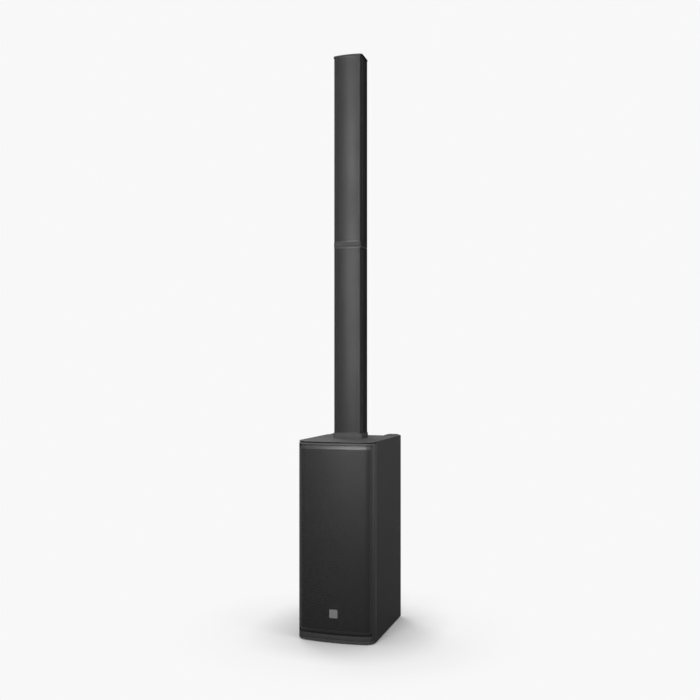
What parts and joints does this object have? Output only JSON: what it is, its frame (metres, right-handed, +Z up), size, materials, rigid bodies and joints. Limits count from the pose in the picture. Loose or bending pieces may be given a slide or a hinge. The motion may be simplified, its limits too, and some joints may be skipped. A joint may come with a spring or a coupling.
{
  "type": "column pa system",
  "caption": "Powered bass cabinet with a bowed front grille that carries a slim two-section loudspeaker column in a socket on its top.",
  "frame": {"origin": "on the floor under the centre of the cabinet's footprint", "axes": "+Z up, the front grille faces -Y, +X to the right seen from the front"},
  "size_m": [0.246, 0.352, 1.822],
  "materials": {
    "cabinet_black": "fine textured satin black",
    "bezel_black": "satin black moulding",
    "board_wood": "bare board",
    "grille_paint": "powder-coated black perforated sheet",
    "foam_black": "open foam",
    "badge_satin": "satin, blank",
    "frame_paint": "black paint",
    "cone_paper": "felted",
    "surround_rubber": "soft matte",
    "magnet_iron": "ferrite and plated steel",
    "port_plastic": "smooth moulding",
    "foot_rubber": "matte",
    "grip_plastic": "textured moulding",
    "socket_plastic": "satin moulding",
    "contact_metal": "plated",
    "panel_paint": "black powder coat",
    "sink_metal": "black anodised",
    "board_green": "solder mask",
    "coil_copper": "lacquered winding",
    "display_glass": "gloss dark window",
    "control_plastic": "satin",
    "button_rubber": "soft matte",
    "socket_black": "semi-gloss moulding",
    "socket_metal": "nickel plated",
    "rocker_plastic": "gloss red",
    "screw_black": "black zinc",
    "column_coat": "black powder coat"
  },
  "bodies": {
    "base": {"cabinet_shell": "cabinet_black", "front_baffle": "board_wood", "brace_board": "board_wood", "rear_board": "cabinet_black", "front_bezel": "bezel_black", "base_grille": "grille_paint", "grille_foam": "foam_black", "badge_plate": "badge_satin", "woofer_frames": "frame_paint", "woofer_surrounds": "surround_rubber", "woofer_magnets": "magnet_iron", "bass_ports": "port_plastic", "rubber_feet": "foot_rubber", "rear_grip": "grip_plastic", "column_socket": "socket_plastic", "base_contacts": "contact_metal", "amp_panel": "panel_paint", "heat_sink": "sink_metal", "control_board": "board_green", "display_window": "display_glass", "encoder_body": "socket_black", "input_jack_1": "socket_black", "input_jack_2": "socket_black", "link_socket": "socket_black", "line_sockets": "socket_metal", "power_inlet": "socket_black", "inlet_pins": "socket_metal", "switch_frame": "socket_black", "fuse_holder": "socket_black", "amp_board": "board_green", "transformer": "coil_copper", "panel_screws": "screw_black", "cabinet_screws": "screw_black"},
    "lower_column": {"lower_column_end_cap": "socket_plastic", "lower_column_housing": "column_coat", "lower_column_baffle": "board_wood", "lower_column_grille": "grille_paint", "lower_column_driver_frames": "frame_paint", "lower_column_driver_magnets": "magnet_iron", "lower_column_socket": "socket_plastic", "lower_column_contacts": "contact_metal"},
    "upper_column": {"upper_column_end_cap": "socket_plastic", "upper_column_housing": "column_coat", "upper_column_baffle": "board_wood", "upper_column_grille": "grille_paint", "upper_column_driver_frames": "frame_paint", "upper_column_driver_magnets": "magnet_iron", "upper_column_top_cap": "socket_plastic"},
    "lower_woofer": {"lower_woofer_cone": "cone_paper"},
    "upper_woofer": {"upper_woofer_cone": "cone_paper"},
    "lower_column_cones": {"lower_column_driver_cones": "cone_paper"},
    "upper_column_cones": {"upper_column_driver_cones": "cone_paper"},
    "knob_push": {"encoder_plunger": "socket_black"},
    "knob": {"encoder_shaft": "socket_metal", "control_knob": "control_plastic"},
    "rocker": {"power_rocker": "rocker_plastic"},
    "button_1": {"menu_button_1": "button_rubber"},
    "button_2": {"menu_button_2": "button_rubber"},
    "button_3": {"menu_button_3": "button_rubber"},
    "button_4": {"menu_button_4": "button_rubber"}
  },
  "joints": [
    {"name": "lower_column_lift", "type": "slide", "parent": "base", "child": "lower_column", "axis": [0, 0, 1], "range_m": [0, 0.12]},
    {"name": "upper_column_lift", "type": "slide", "parent": "lower_column", "child": "upper_column", "axis": [0, 0, 1], "range_m": [0, 0.12]},
    {"name": "lower_woofer_travel", "type": "slide", "parent": "base", "child": "lower_woofer", "axis": [0, -1, 0], "range_m": [-0.004, 0.004], "stiffness_N_per_m": 2000},
    {"name": "upper_woofer_travel", "type": "slide", "parent": "base", "child": "upper_woofer", "axis": [0, -1, 0], "range_m": [-0.004, 0.004], "stiffness_N_per_m": 2000},
    {"name": "lower_column_cone_travel", "type": "slide", "parent": "lower_column", "child": "lower_column_cones", "axis": [0, -1, 0], "range_m": [-0.001, 0.001], "stiffness_N_per_m": 6000},
    {"name": "upper_column_cone_travel", "type": "slide", "parent": "upper_column", "child": "upper_column_cones", "axis": [0, -1, 0], "range_m": [-0.001, 0.001], "stiffness_N_per_m": 6000},
    {"name": "knob_press", "type": "slide", "parent": "base", "child": "knob_push", "axis": [0, -1, 0], "range_m": [0, 0.0008], "stiffness_N_per_m": 3000},
    {"name": "knob_turn", "type": "hinge", "parent": "knob_push", "child": "knob", "pos_m": [-0.062, 0.1405, 0.488], "axis": [0, 1, 0], "continuous": true},
    {"name": "power_switch", "type": "hinge", "parent": "base", "child": "rocker", "pos_m": [0.014, 0.1425, 0.236], "axis": [-1, 0, 0], "range_deg": [0, 20]},
    {"name": "button_1_press", "type": "slide", "parent": "base", "child": "button_1", "axis": [0, -1, 0], "range_m": [0, 0.0008], "stiffness_N_per_m": 1500},
    {"name": "button_2_press", "type": "slide", "parent": "base", "child": "button_2", "axis": [0, -1, 0], "range_m": [0, 0.0008], "stiffness_N_per_m": 1500},
    {"name": "button_3_press", "type": "slide", "parent": "base", "child": "button_3", "axis": [0, -1, 0], "range_m": [0, 0.0008], "stiffness_N_per_m": 1500},
    {"name": "button_4_press", "type": "slide", "parent": "base", "child": "button_4", "axis": [0, -1, 0], "range_m": [0, 0.0008], "stiffness_N_per_m": 1500}
  ]
}
